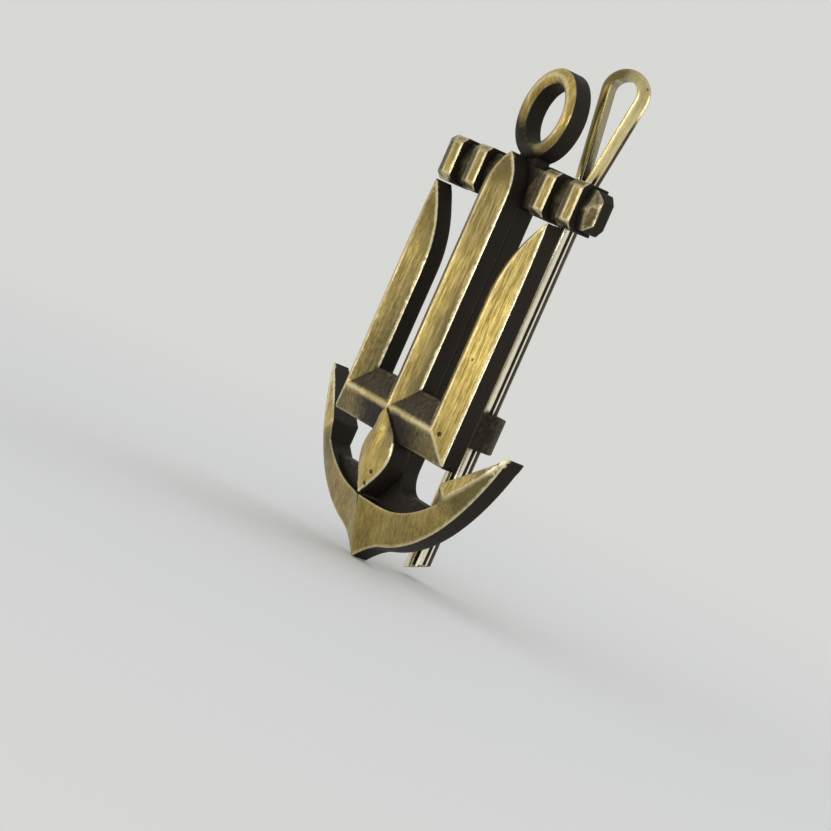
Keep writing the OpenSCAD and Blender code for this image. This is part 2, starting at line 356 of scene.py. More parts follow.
def make_stage():
    """Pale floor under the lowest point, which turns to the plain backdrop away from the part."""
    low = cad_box[0][2]
    mesh = bpy.data.meshes.new("floor")
    signs = ((-1, -1), (1, -1), (1, 1), (-1, 1))
    mesh.from_pydata([(x * FLOOR_HALF, y * FLOOR_HALF, low) for x, y in signs], [], [(0, 1, 2, 3)])
    floor = new_object("floor", mesh)
    material = bpy.data.materials.new("pale_floor")
    material.use_nodes = True
    tree = material.node_tree
    shader = tree.nodes["Principled BSDF"]
    shader.inputs["Base Color"].default_value = FLOOR_COLOUR
    shader.inputs["Roughness"].default_value = 0.9
    where = tree.nodes.new("ShaderNodeTexCoord").outputs["Object"]
    far = add_node(tree, "ShaderNodeVectorMath", {0: where}, operation="LENGTH").outputs["Value"]
    share = calc(tree, "MULTIPLY", seen_directly(tree), ease(tree, far, *FLOOR_FADE))
    glow = add_node(tree, "ShaderNodeEmission", {"Color": PALE, "Strength": 1.0})
    mixed = add_node(tree, "ShaderNodeMixShader",
                     {0: share, 1: shader.outputs[0], 2: glow.outputs[0]})
    put(tree, tree.nodes["Material Output"].inputs["Surface"], mixed.outputs[0])
    mesh.materials.append(material)


def make_world():
    """Even studio light, with the plain backdrop where it is seen."""
    world = bpy.data.worlds.new("studio")
    bpy.context.scene.world = world
    world.use_nodes = True
    tree = world.node_tree
    tree.nodes.clear()
    dim = add_node(tree, "ShaderNodeBackground", {"Color": SKY_COLOUR, "Strength": SKY_STRENGTH})
    pale = add_node(tree, "ShaderNodeBackground", {"Color": PALE, "Strength": 1.0})
    mixed = add_node(tree, "ShaderNodeMixShader",
                     {0: seen_directly(tree), 1: dim.outputs[0], 2: pale.outputs[0]})
    output = tree.nodes.new("ShaderNodeOutputWorld")
    put(tree, output.inputs["Surface"], mixed.outputs[0])


# Finishes

def make_brushed_group():
    """Fine lines left by brushing along the shank."""
    tree, given, out = new_group(
        "brushed_lines", "ShaderNodeTree",
        [("Vector", "NodeSocketVector", None)],
        [("Lines", "NodeSocketFloat"), ("Height", "NodeSocketFloat")],
    )
    wide = grain(tree, given["Vector"], WIDE_LINES, 2.0, 0.5, (1, 1, 0.07))
    fine = grain(tree, given["Vector"], FINE_LINES, 2.0, 0.6, (1, 1, 0.08))
    lines = calc(tree, "MULTIPLY_ADD", wide, 0.5, calc(tree, "MULTIPLY", fine, 0.5))
    put(tree, out["Lines"], ease(tree, lines, 0.4, 0.6))
    put(tree, out["Height"], fine)
    return tree


def make_tarnish_and_painted_light_group():
    """Bright edges from rubbing and painted highlights, stains, darkness from oxide and painted
    shade, and pits, from the painted attributes.
    """
    tree, given, out = new_group(
        "tarnish_and_painted_light", "ShaderNodeTree",
        [("Vector", "NodeSocketVector", None), ("Patina_and_shade", "NodeSocketFloat", 0.0),
         ("Hollow_shade", "NodeSocketFloat", 0.0), ("Edge", "NodeSocketFloat", 1.0),
         ("Bright", "NodeSocketFloat", 1.0)],
        [("Dark", "NodeSocketFloat"), ("Wear_and_sheen", "NodeSocketFloat"), ("Stain", "NodeSocketFloat"),
         ("Pits", "NodeSocketFloat")],
    )
    cloud = grain(tree, given["Vector"], STAIN_CLOUDS, 4.0, 0.6)
    speck = grain(tree, given["Vector"], PATINA_SPECKS, 3.0, 0.6)
    ragged = calc(tree, "SUBTRACT", speck, 0.5)

    # Edges bright from rubbing and painted highlights
    reach = calc(tree, "MULTIPLY_ADD", ragged, 0.3, given["Edge"])
    wear_and_sheen = calc(tree, "MULTIPLY", ease(tree, reach, 0.27, 0.04), given["Bright"])
    # Darkness from the painted shade in hollows, and from oxide with painted shade
    deep = calc(tree, "MULTIPLY_ADD", given["Hollow_shade"], 0.9, given["Patina_and_shade"])
    deep = calc(tree, "MULTIPLY_ADD", ragged, 0.5, deep)
    dark = ease(tree, deep, 0.32, 0.95)
    kept = calc(tree, "SUBTRACT", 1.0, calc(tree, "MULTIPLY", dark, 0.65))
    put(tree, out["Dark"], dark)
    put(tree, out["Wear_and_sheen"], calc(tree, "MULTIPLY", wear_and_sheen, kept))
    put(tree, out["Stain"], ease(tree, cloud, 0.38, 0.68))

    placed = add_node(tree, "ShaderNodeMapping",
                      {"Vector": given["Vector"], "Scale": (PIT_CELLS, PIT_CELLS, PIT_CELLS)})
    cells = add_node(tree, "ShaderNodeTexVoronoi",
                     {"Vector": placed.outputs[0], "Scale": 1.0, "Randomness": 1.0})
    picked = add_node(tree, "ShaderNodeSeparateColor", {"Color": cells.outputs["Color"]}).outputs[0]
    size = calc(tree, "MULTIPLY", ease(tree, picked, 0.75, 1.0), 0.09)
    pits = ease(tree, calc(tree, "SUBTRACT", cells.outputs["Distance"], size), 0.03, -0.03)
    for place in CAST_PITS:
        away = add_node(tree, "ShaderNodeVectorMath",
                        {0: given["Vector"], 1: tuple(MM * c for c in place)}, operation="DISTANCE")
        pit = ease(tree, away.outputs["Value"], CAST_PIT_RIM * MM, CAST_PIT_FLOOR * MM)
        pits = calc(tree, "MAXIMUM", pits, pit)
    put(tree, out["Pits"], pits)
    return tree


def make_brass(name, gold, olive, pale, painted_dim, patina_and_shade, rough, bump):
    """Brushed brass, dark from oxide and painted shade in the recesses, with edges bright from
    rubbing and painted highlights.
    """
    material = bpy.data.materials.new(name)
    material.use_nodes = True
    tree = material.node_tree
    shader = tree.nodes["Principled BSDF"]
    shader.inputs["Specular IOR Level"].default_value = 0.25
    where = tree.nodes.new("ShaderNodeTexCoord").outputs["Object"]
    brushed = add_node(tree, "ShaderNodeGroup", node_tree=brushed_lines)
    tarnish_and_painted_light = add_node(tree, "ShaderNodeGroup", node_tree=tarnish_and_painted_light_marks)
    put(tree, brushed.inputs["Vector"], where)
    put(tree, tarnish_and_painted_light.inputs["Vector"], where)
    for key in ("Patina_and_shade", "Hollow_shade", "Edge", "Bright"):
        put(tree, tarnish_and_painted_light.inputs[key], attribute(tree, key.lower()))
    lines, height = brushed.outputs["Lines"], brushed.outputs["Height"]
    dark, wear_and_sheen, stain, pits = (tarnish_and_painted_light.outputs[key] for key in ("Dark", "Wear_and_sheen", "Stain", "Pits"))

    toning = calc(tree, "MULTIPLY_ADD", lines, 0.48, calc(tree, "MULTIPLY", stain, 0.34))
    # Darkness from oxide, painted shade and pits
    darkening = calc(tree, "MAXIMUM", dark, calc(tree, "MULTIPLY", pits, 0.9))
    colour = blend_colour(tree, toning, gold, olive)
    # Painted dimming: a darker, greyer colour that stands in for shade and dark reflections
    colour = blend_colour(tree, attribute(tree, "painted_dim"), colour, painted_dim)
    # Pale edges from rubbing and painted highlights
    colour = blend_colour(tree, wear_and_sheen, colour, pale)
    put(tree, shader.inputs["Base Color"], blend_colour(tree, darkening, colour, patina_and_shade))
    put(tree, shader.inputs["Metallic"], calc(tree, "MULTIPLY_ADD", darkening, -0.6, 1.0))

    roughness = calc(tree, "MULTIPLY_ADD", lines, 0.14, rough)
    roughness = calc(tree, "MULTIPLY_ADD", darkening, 0.25, roughness)
    put(tree, shader.inputs["Roughness"], calc(tree, "MULTIPLY_ADD", wear_and_sheen, -0.1, roughness))
    relief = calc(tree, "MULTIPLY_ADD", pits, -1.2, height)
    bumped = add_node(tree, "ShaderNodeBump",
                      {"Strength": bump, "Distance": 0.04 * MM, "Height": relief})
    put(tree, shader.inputs["Normal"], bumped.outputs[0])
    return material


# Meshes

def solid_of(node, crossing=None):
    """Clean copy of a node's mesh: doubles merged, flat faces joined and triangles paired.

    Where ridges cross, their points are drawn into one, and each ridge is split 1 mm from it.
    """
    solid = bmesh.new()
    solid.from_mesh(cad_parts[node].data)
    bmesh.ops.remove_doubles(solid, verts=solid.verts, dist=DOUBLES)
    if crossing:
        place = Vector(crossing) * MM
        near = [v for v in solid.verts if (v.co - place).length < CROSSING_R * MM]
        bmesh.ops.pointmerge(solid, verts=near, merge_co=place)
    bmesh.ops.dissolve_limit(solid, angle_limit=math.radians(FLAT_A), verts=solid.verts,
                             edges=solid.edges)
    solid.normal_update()
    bmesh.ops.join_triangles(solid, faces=[f for f in solid.faces if len(f.verts) == 3],
                             angle_face_threshold=math.radians(PAIR_A),
                             angle_shape_threshold=math.pi)
    solid.normal_update()
    if crossing:
        middle = min(solid.verts, key=lambda v: (v.co - place).length)
        ridges = [e for e in convex_edges(solid, EDGE_A) if middle in e.verts]
        for e in [e for e in ridges if e.calc_length() > 2 * MM]:
            bmesh.utils.edge_split(e, middle, MM / e.calc_length())
        solid.normal_update()
    return solid


def convex_edges(solid, degrees):
    """Edges that stand out by more than an angle."""
    limit = math.radians(degrees)
    return [e for e in solid.edges if e.is_manifold and e.calc_face_angle_signed(0.0) > limit]


def edge_kind(edge):
    """Ridge between two front faces, rim between a front face and a wall, or a plain corner."""
    fronts = sorted(-f.normal.y for f in edge.link_faces)
    if fronts[0] > FRONT_FACE:
        return "ridge"
    return "rim" if fronts[-1] > FRONT_FACE else "corner"


def wear_and_sheen_along_edges(edges, weigh):
    """Points along edges in millimetres, each with how bright the edge is there, from rubbing and
    painted highlights.
    """
    points = []
    for e in edges:
        start, end, kind = e.verts[0].co, e.verts[1].co, edge_kind(e)
        count = max(1, int((end - start).length / (WEAR_GAP * MM)))
        for i in range(count + 1):
            point = start.lerp(end, i / count) / MM
            points.append((point, weigh(kind, point)))
    return points


def round_off(solid, edges, width, segments=3):
    """Rounds edges by a width in millimetres."""
    bmesh.ops.bevel(solid, geom=edges, offset=width * MM, offset_type="OFFSET", segments=segments,
                    profile=0.5, affect="EDGES", clamp_overlap=False, loop_slide=True)
    bmesh.ops.remove_doubles(solid, verts=solid.verts, dist=SLIVER * MM)


def refine(solid, longest):
    """Halves long edges, the longest first, so that painted attributes have points to live on."""
    bmesh.ops.triangulate(solid, faces=solid.faces)
    while True:
        long = [e for e in solid.edges if e.calc_length() > longest * MM]
        if not long:
            break
        taken, halved = set(), []
        for e in sorted(long, key=lambda e: -e.calc_length()):
            if taken.isdisjoint(e.link_faces):
                halved.append(e)
                taken.update(e.link_faces)
        bmesh.ops.subdivide_edges(solid, edges=halved, cuts=1, use_single_edge=True)


def dome(solid, weigh):
    """Eases chosen points toward their neighbours, so that a ridge becomes a dome."""
    solid.normal_update()
    solid.verts.index_update()
    points = np.array([v.co for v in solid.verts]) / MM
    front = np.array([-v.normal.y for v in solid.verts])
    ends = np.array([(e.verts[0].index, e.verts[1].index) for e in solid.edges])
    first, last, count = ends[:, 0], ends[:, 1], len(points)
    degree = np.bincount(ends.ravel(), minlength=count)
    share = 0.5 * weigh(points, front)
    for _ in range(DOME_ROUNDS):
        for k in range(3):
            c = points[:, k]
            total = np.bincount(first, c[last], count) + np.bincount(last, c[first], count)
            points[:, k] = c + share * (total / degree - c)
    for v, place in zip(solid.verts, points):
        v.co = place * MM


def finish_mesh(solid, name):
    """Plain mesh of a solid, smooth apart from its creases."""
    solid.normal_update()
    for f in solid.faces:
        f.smooth = True
    for e in solid.edges:
        if e.is_manifold and abs(e.calc_face_angle(0.0)) > math.radians(CREASE_A):
            e.smooth = False
    mesh = bpy.data.meshes.new(name)
    solid.to_mesh(mesh)
    solid.free()
    if "custom_normal" in mesh.attributes:
        mesh.attributes.remove(mesh.attributes["custom_normal"])
    return mesh


def settle(mesh, name, material, body, nodes):
    """Puts a finished mesh in the scene in place of its CAD nodes."""
    mesh.materials.clear()
    mesh.materials.append(material)
    piece = new_object(name, mesh)
    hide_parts(*nodes)
    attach(piece, body)


# Painted attributes

def hemisphere(count):
    """Evenly spread directions about +Z, denser near it."""
    turn = math.pi * (3.0 - math.sqrt(5.0))
    rays = []
    for i in range(count):
        share = (i + 0.5) / count
        spread = math.sqrt(share)
        rays.append(Vector((spread * math.cos(i * turn), spread * math.sin(i * turn),
                            math.sqrt(1 - share))))
    return rays


def all_solids_tree():
    """Search tree of every CAD solid, in millimetres."""
    points, faces = [], []
    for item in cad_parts.values():
        start = len(points)
        points += [v.co / MM for v in item.data.vertices]
        faces += [[start + k for k in p.vertices] for p in item.data.polygons]
    return BVHTree.FromPolygons(points, faces)


SOLIDS = all_solids_tree()
RAYS = hemisphere(COVER_RAYS)


def cover_at(point, normal):
    """How far the solids around a point close it in, from 0 to 1: the painted shade in hollows."""
    turn = normal.to_track_quat("Z", "Y")
    start = point + normal * COVER_LIFT
    skin = SOLIDS.ray_cast(start, normal, COVER_SKIN)
    if skin[0] is not None and skin[1].dot(normal) > 0:
        start = skin[0] + normal * COVER_CLEAR
    total = 0.0
    for ray in RAYS:
        hit = SOLIDS.ray_cast(start, turn @ ray, COVER_REACH)
        if hit[0] is not None:
            total += 1.0 - hit[3] / COVER_REACH
    return total / len(RAYS)


def read_vectors(mesh, key):
    """Places or normals of a mesh's points, one row each."""
    values = np.zeros(len(mesh.vertices) * 3)
    mesh.vertices.foreach_get(key, values)
    return values.reshape(-1, 3)


def paint(mesh, wear_and_sheen_points, shade, reach=1.0):
    """Writes the attributes that the finishes read, one value per point."""
    points, normals = read_vectors(mesh, "co") / MM, read_vectors(mesh, "normal")
    near, bright = np.full(len(points), FAR), np.zeros(len(points))
    if wear_and_sheen_points:
        tree = KDTree(len(wear_and_sheen_points))
        for i, (p, _) in enumerate(wear_and_sheen_points):
            tree.insert(p, i)
        tree.balance()
        found = [tree.find(p) for p in points]
        near = reach * np.array([f[2] for f in found])
        bright = np.array([wear_and_sheen_points[f[1]][1] for f in found])
    # Painted shade in hollows, by how far the solids close each point in
    hollow_shade = np.array([cover_at(Vector(p), Vector(n)) for p, n in zip(points, normals)])
    # Oxide with painted shade, and painted dimming, by each piece's own rules
    patina_and_shade, painted_dim = shade(points, normals, -normals[:, 1])
    layers = {"edge": near, "bright": bright, "hollow_shade": hollow_shade, "patina_and_shade": patina_and_shade, "painted_dim": painted_dim}
    for key, values in layers.items():
        layer = mesh.attributes.new(key, "FLOAT", "POINT")
        layer.data.foreach_set("value", np.clip(values, 0, FAR).astype(np.float32))


def step(values, low, high):
    """Smooth step of values between two limits."""
    share = np.clip((values - low) / (high - low), 0, 1)
    return share * share * (3 - 2 * share)


def only(mask, values):
    """Values where a mask holds, and none elsewhere."""
    return np.where(mask, values, 0.0)


def most(*layers):
    """Greatest of several layers at each point."""
    return np.maximum.reduce(layers)


# Oxide and painted shade, painted dimming, and edges bright from rubbing and painted highlights, of
# each piece

def walls_painted_shade(front):
    """Painted shade by facing: dark on upright walls, half dark on the back, none on the front."""
    return (1 - step(front, 0.2, 0.62)) - 0.38 * step(-front, 0.85, 0.97)


def arm_place(points):
    """Angle of points from the crown, and their distance from the centre of the arms' curve."""
    x, z = np.abs(points[:, 0]), points[:, 2]
    return np.degrees(np.arctan2(x, ARM_CENTRE_Z - z)), np.hypot(x, z - ARM_CENTRE_Z)


def arm_inner(angle):
    """Inner radius of the arms at an angle from the crown, up to the flukes."""
    return ARM_R - CROWN_W + ARM_TAPER * np.clip(angle / FLUKE_START_A, 0, 1)


def arm_dome(points, front):
    """Front of the arms between the crown and the flukes."""
    angle, reach = arm_place(points)
    inside = step(reach - arm_inner(angle), *DOME_RIM) * step(ARM_R - reach, *DOME_RIM)
    return inside * step(angle, *DOME_START_A) * (1 - step(angle, *DOME_END_A)) * (front > FACING)


def anchor_shade(points, normals, front):
    """Dark ground of the plate and crease of the crown, from oxide and painted shade, and painted
    dimming on the arms and flukes.
    """
    x, y, z = np.abs(points[:, 0]), points[:, 1], points[:, 2]
    angle, reach = arm_place(points)
    plain = (reach < arm_inner(angle) + 0.05) | ((x < SHANK_SIDE) & (z > 0))
    ground = (y > GROUND_FRONT_Y) & (y < GROUND_BACK_Y) & plain
    crease = (1 - step(x, *CREASE_X)) * step(z, *CREASE_Z) * (front > 0.3)
    fluke = step(angle, *FLUKE_A)
    lower = step(reach, *LOWER_RIM_R) * fluke
    # Painted dimming on the front: most on the right fluke's lower rim and along the left arm
    right = np.maximum(0.8 * lower, 0.3 + 0.1 * fluke)
    left = 0.3 + 0.5 * step(angle, *PAINTED_DIM_START_A) - 0.8 * step(angle, *PAINTED_DIM_END_A)
    painted_dim = np.where(points[:, 0] > 0, right, left)
    patina_and_shade = most(walls_painted_shade(front), only(ground, 0.85), 0.8 * crease)
    return patina_and_shade, np.where(front > 0, painted_dim, 0.3)


def anchor_wear_and_sheen(kind, point):
    """Bright fluke tips and outer rims, from rubbing and painted highlights."""
    x, z = abs(point.x), point.z
    wear_and_sheen = WEAR_SHEEN_TIP_RIGHT if point.x > 0 else WEAR_SHEEN_TIP_LEFT
    if math.hypot(x - WEAR_SHEEN_TIP_X, z - WEAR_SHEEN_TIP_Z) < wear_and_sheen:
        return 1.0
    if kind == "ridge":
        fluke = math.atan2(x, ARM_CENTRE_Z - z) > math.radians(FLUKE_RIDGE_A)
        return 0.08 if x < 0.6 else 0.4 * fluke
    outer = math.hypot(x, z - ARM_CENTRE_Z) > OUTER_RIM_R
    return (0.75 if outer else 0.3) if kind == "rim" else 0.05


def leaf_half(z):
    """Half width of the leaf at a height, in millimetres."""
    return LEAF_W / 2 * np.sin(np.pi * np.clip(z / LEAF_TIP_Z, 0, 1))


def leaf_dome(points, front):
    """Front of the leaf inside its rim."""
    return step(leaf_half(points[:, 2]) - np.abs(points[:, 0]), *DOME_RIM) * (front > FACING)


def trident_shade(points, normals, front):
    """Painted shade on the bar and in the valleys beside the leaf, and painted dimming on the
    facets that turn from the light.
    """
    x, z = points[:, 0], points[:, 2]
    across = np.abs(x)
    facing = front > FACING
    bar = (np.abs(normals[:, 2]) > 0.25) & (np.abs(z) < BAR_SIDE) & facing
    bar &= across > leaf_half(z) + 0.02
    upper, lower = bar & (normals[:, 2] > 0), bar & (normals[:, 2] < 0)
    ends = step(across, *BAR_ENDS_X)
    off = step(np.abs(z), *BAR_RIDGE_Z)
    valley = (z > VALLEY_LOW_Z) & (z < VALLEY_HIGH_Z) & (np.abs(across - leaf_half(z)) < 0.1)
    side = (np.abs(normals[:, 0]) > 0.2) & facing
    centre = across < SPEAR_SIDE
    away = side & (normals[:, 0] > 0) & (x < -PRONG_SIDE)
    climb = step(z, *PRONG_RISE_Z)
    # Painted shade on walls, on the bar's facets by which way they face but not along its ridge, in
    # the valleys, and on the left prong's right-facing facets
    patina_and_shade = most(walls_painted_shade(front), only(upper, 0.74 * off), only(lower, (0.9 - 0.3 * ends) * off),
                  only(valley, 0.75), only(away, 0.46 - 0.2 * climb))

    facet = np.maximum(only(upper, 0.85), only(lower, 0.85 - 0.4 * ends)) * off
    spear = only(side & centre & (z > -0.5), 0.35 + 0.55 * step(across, 0.4, 1.7))
    spear = spear * (1 - 0.35 * step(z, 5, 14))
    left = only(away, 0.62 + 0.3 * step(x, -7.0, -5.4)) * (1 - 0.3 * climb)
    leaf = 0.9 * step(x, 0.5, 1.1) * step(z, -4.6, -2.4)
    leaf = only((z < 0) & (across < LEAF_SIDE) & facing, leaf)
    high = only(side, np.where(centre, 0.72, 0.55) * step(z, *HIGH_Z))
    foot = only(side & (x > PRONG_SIDE), 0.3 * (1 - step(z, *PRONG_FOOT_Z)))
    return patina_and_shade, most(facet, spear, left, leaf, high, foot)


def trident_wear_and_sheen(kind, point):
    """Bright rims and ridges from rubbing and painted highlights, and none where the leaf's edge
    sinks into the bar.
    """
    if point.z < -0.05 and abs(point.x) < leaf_half(point.z) + 0.03:
        return 0.0 if kind == "ridge" or point.z > LEAF_FREE_Z else 0.95
    if kind == "ridge":
        upright = abs(point.x) < 0.1 or abs(point.x) > PRONG_SIDE
        return 0.75 - 0.025 * max(0.0, point.z) if upright else 0.3
    return 0.95 if kind == "rim" else 0.05


def stock_shade(points, normals, front):
    """Dark bar between the collars and lighter stubs outside them, from oxide and painted shade,
    with painted dimming.
    """
    out = np.abs(points[:, 0])
    stub = 0.72 - 0.18 * step(out, 10.7, 11.2)
    return np.maximum(walls_painted_shade(front), stub), np.where(out > STUB_X, 0.9, 0.6)


def stock_wear(kind, point):
    """Bright edges on the stubs alone."""
    if abs(point.x) < STUB_X or kind == "corner":
        return 0.02
    return 0.9 if kind == "rim" else 0.35


def collar_shade(points, normals, front):
    """Painted shade on the left facet of each collar, which turns from the light, and painted
    dimming all over.
    """
    left = (normals[:, 0] < -0.08) & (front > FACING)
    return np.maximum(walls_painted_shade(front), only(left, 0.6)), np.where(left, 0.9, 0.62)


def collar_wear(kind, point):
    """Bright edges all round."""
    return 0.6 if kind == "rim" else 0.4


def ring_low_left(x, z):
    """How far a point lies towards the ring's lower left, in ring radii."""
    return (-0.44 * x - 0.9 * (z - RING_Z)) / RING_R


def ring_shade(points, normals, front):
    """Dark neck, painted shade on the lower left of the ring, and painted dimming towards the lower
    left.
    """
    neck = points[:, 2] < RING_Z - RING_R + 0.15
    low_left = ring_low_left(points[:, 0], points[:, 2])
    quarter = 0.95 * step(low_left, 0.25, 0.8) * (front > -0.5)
    return most(walls_painted_shade(front), only(neck, 0.85), quarter), 0.7 * step(low_left, -0.5, 0.4)


def lug_shade(points, normals, front):
    """Painted shade all over, for lugs that sit behind the badge."""
    return np.full(len(points), 0.85), np.zeros(len(points))


def lug_wear(kind, point):
    """A little rubbing on every edge."""
    return 0.25


def pin_shade(points, normals, front):
    """Painted dark reflections in streaks along the legs' round side, painted shade on the inner
    flats, and painted dimming on the eye's strands and bend.
    """
    top = PIN_NECK_Z + EYE_L
    across = points[:, 0] * ACROSS_X + (points[:, 1] - PIN_Y) * ACROSS_Y
    facing = normals[:, 0] * ACROSS_X + normals[:, 1] * ACROSS_Y
    inside = step(-facing * np.sign(across), 0.6, 0.95)
    eye = step(points[:, 2], PIN_NECK_Z, PIN_NECK_Z + 1.5)
    arch = step(points[:, 2], top - 4.8, top - 1.6)
    around = np.degrees(np.arctan2(normals[:, 1], normals[:, 0]))
    leg = step(around, -14, -10) * step(np.abs(around - 9), 3, 5.5)
    streak = (leg + eye * (step(around, 12, 20) - leg)) * (1 - step(around, 34, 62)) * (1 - inside)
    strand = 0.95 * eye * step(-across, -0.6, 0.6) * (1 - inside)
    bend = (0.6 - 0.4 * step(across, -0.2, 1.2)) * arch
    return 0.95 * streak * (1 - arch), most(0.9 * streak * (1 - arch), 0.9 * inside, strand, bend)


def pin_painted_highlights():
    """Painted highlights: bright lines along the legs at fixed angles about the axis."""
    lines = []
    for around, bright in PAINTED_HIGHLIGHT_LINES:
        turn = math.radians(around)
        out = Vector((math.cos(turn), math.sin(turn), 0)) * PIN_R
        for z in np.arange(PIN_END_Z, PIN_NECK_Z, WEAR_GAP):
            lines.append((Vector((out.x, PIN_Y + out.y, z)), bright))
    return lines


# Pieces softened from their own solids

def dress(node, material, width, shade, weigh, tips=(), domed=None, crossing=None):
    """Replaces a node by its own solid with softened edges."""
    solid = solid_of(node, crossing)
    edges = [e for e in convex_edges(solid, EDGE_A)
             if weigh(edge_kind(e), (e.verts[0].co + e.verts[1].co) / 2 / MM) > 0]
    wear_and_sheen_points = wear_and_sheen_along_edges(edges, weigh)
    soft = [e for e in edges
            if all((v.co / MM - Vector(t)).length > TIP_REACH for t in tips for v in e.verts)]
    round_off(solid, soft, width)
    refine(solid, PIECE_STEP)
    if domed:
        dome(solid, domed)
    mesh = finish_mesh(solid, node)
    paint(mesh, wear_and_sheen_points, shade)
    settle(mesh, "brass_" + node, material, "badge", [node])


# Head ring

def ring_profile():
    """Radius and height of the ring's section: flat back with soft edges, domed front."""
    dome_r = (RING_TUBE ** 2 + RING_DOME ** 2) / (2 * RING_DOME)
    half = math.asin(RING_TUBE / dome_r)
    quarter = np.linspace(0, math.pi / 2, 4)
    shoulder = PLATE_T - 0.04
    profile = [(HOLE_R, 0.6), (HOLE_R, RING_SOFT)]
    profile += [(HOLE_R + RING_SOFT * (1 - math.cos(a)), RING_SOFT * (1 - math.sin(a)))
                for a in quarter[1:]]
    profile += [(RING_R - RING_SOFT * (1 - math.sin(a)), RING_SOFT * (1 - math.cos(a)))
                for a in quarter]
    profile += [(RING_R, 0.6), (RING_R, shoulder)]
    for a in np.linspace(half, -half, 15):
        profile.append((RING_MIDDLE + dome_r * math.sin(a),
                        PLATE_T + RING_DOME - dome_r + dome_r * math.cos(a)))
    return profile + [(HOLE_R, shoulder)]


def turn_ring(solid, profile):
    """Turns a section about the ring's axis."""
    rows = []
    for i in range(RING_TURNS):
        angle = 2 * math.pi * i / RING_TURNS
        rows.append([solid.verts.new((r * math.sin(angle) * MM, -y * MM,
                                      (RING_Z + r * math.cos(angle)) * MM)) for r, y in profile])
    for i in range(RING_TURNS):
        here, then = rows[i], rows[(i + 1) % RING_TURNS]
        for j in range(len(profile)):
            k = (j + 1) % len(profile)
            solid.faces.new((here[j], here[k], then[k], then[j]))
    bmesh.ops.recalc_face_normals(solid, faces=solid.faces)


def add_neck(solid):
    """Block between the stock and the ring, with soft upright edges."""
    foot = STOCK_Z + STOCK_H / 2
    top = RING_Z - HOLE_R - RING_TUBE
    neck = bmesh.ops.create_cube(solid, size=1.0)["verts"]
    for v in neck:
        v.co = Vector((v.co.x * NECK_W * MM, (v.co.y - 0.5) * (PLATE_T - 0.06) * MM - 0.02 * MM,
                       ((foot + top) / 2 + v.co.z * (top - foot)) * MM))
    upright = [e for e in solid.edges if e.verts[0] in neck
               and abs(e.verts[0].co.z - e.verts[1].co.z) > 0.2 * MM]
    round_off(solid, upright, NECK_SOFT)


def make_ring(material):
    """Head ring turned from its profile, with the neck below it."""
    solid = bmesh.new()
    turn_ring(solid, ring_profile())
    add_neck(solid)
    # Painted highlight along the top of the dome, fading out towards the lower left
    wear_and_sheen_points = []
    for a in np.linspace(0, 2 * math.pi, 240):
        point = Vector((RING_MIDDLE * math.sin(a), -PLATE_T - RING_DOME,
                        RING_Z + RING_MIDDLE * math.cos(a)))
        wear_and_sheen_points.append((point, 0.5 * (1 - step(ring_low_left(point.x, point.z), 0.0, 0.5))))
    refine(solid, RING_STEP)
    mesh = finish_mesh(solid, "head_ring")
    paint(mesh, wear_and_sheen_points, ring_shade)
    settle(mesh, "brass_head_ring", material, "badge", ["head_ring"])


# Pieces grown by Geometry Nodes

def new_tree(name, sizes):
    """Geometry Nodes tree with named sizes and a finish."""
    inputs = [("Geometry", "NodeSocketGeometry", None)]
    inputs += [(key, "NodeSocketFloat", value) for key, value in sizes.items()]
    inputs += [("Finish", "NodeSocketMaterial", None)]
    return new_group(name, "GeometryNodeTree", inputs, [("Geometry", "NodeSocketGeometry")])


def end_tree(tree, given, out, shape):
    """Ends a tree in real geometry with its finish."""
    real = add_node(tree, "GeometryNodeRealizeInstances", {"Geometry": shape})
    coated = add_node(tree, "GeometryNodeSetMaterial",
                      {"Geometry": real.outputs[0], "Material": given["Finish"]})
    put(tree, out[0], coated.outputs[0])
    return tree


def grow(mesh, tree, values):
    """Runs a tree on a mesh and returns the plain mesh that it makes."""
    host = new_object("host", mesh)
    modifier = host.modifiers.new("grow", "NODES")
    modifier.node_group = tree
    sockets = {item.name: item.identifier for item in tree.interface.items_tree
               if item.in_out == "INPUT"}
    for key, value in values.items():
        modifier[sockets[key]] = value
    shape = host.evaluated_get(bpy.context.evaluated_depsgraph_get())
    made = bpy.data.meshes.new_from_object(shape)
    host.modifiers.remove(modifier)
    bpy.data.objects.remove(host)
    return made


def along_x(tree, value, factor):
    """Vector along X, as long as a value times a factor."""
    length = calc(tree, "MULTIPLY", value, factor)
    return add_node(tree, "ShaderNodeCombineXYZ", {"X": length}).outputs[0]


def make_collar_tree(sizes):
    """One collar repeated at its four places along the stock."""
    tree, given, out = new_tree("collar_row", sizes)
    rows = add_node(tree, "GeometryNodeJoinGeometry")
    for side in (1.0, -1.0):
        line = add_node(tree, "GeometryNodeMeshLine", {
            "Count": 2, "Start Location": along_x(tree, given["Offset"], side),
            "Offset": along_x(tree, given["Pitch"], side)}, mode="OFFSET")
        tree.links.new(line.outputs[0], rows.inputs[0])
    placed = add_node(tree, "GeometryNodeInstanceOnPoints",
                      {"Points": rows.outputs[0], "Instance": given["Geometry"]})
    return end_tree(tree, given, out, placed.outputs[0])


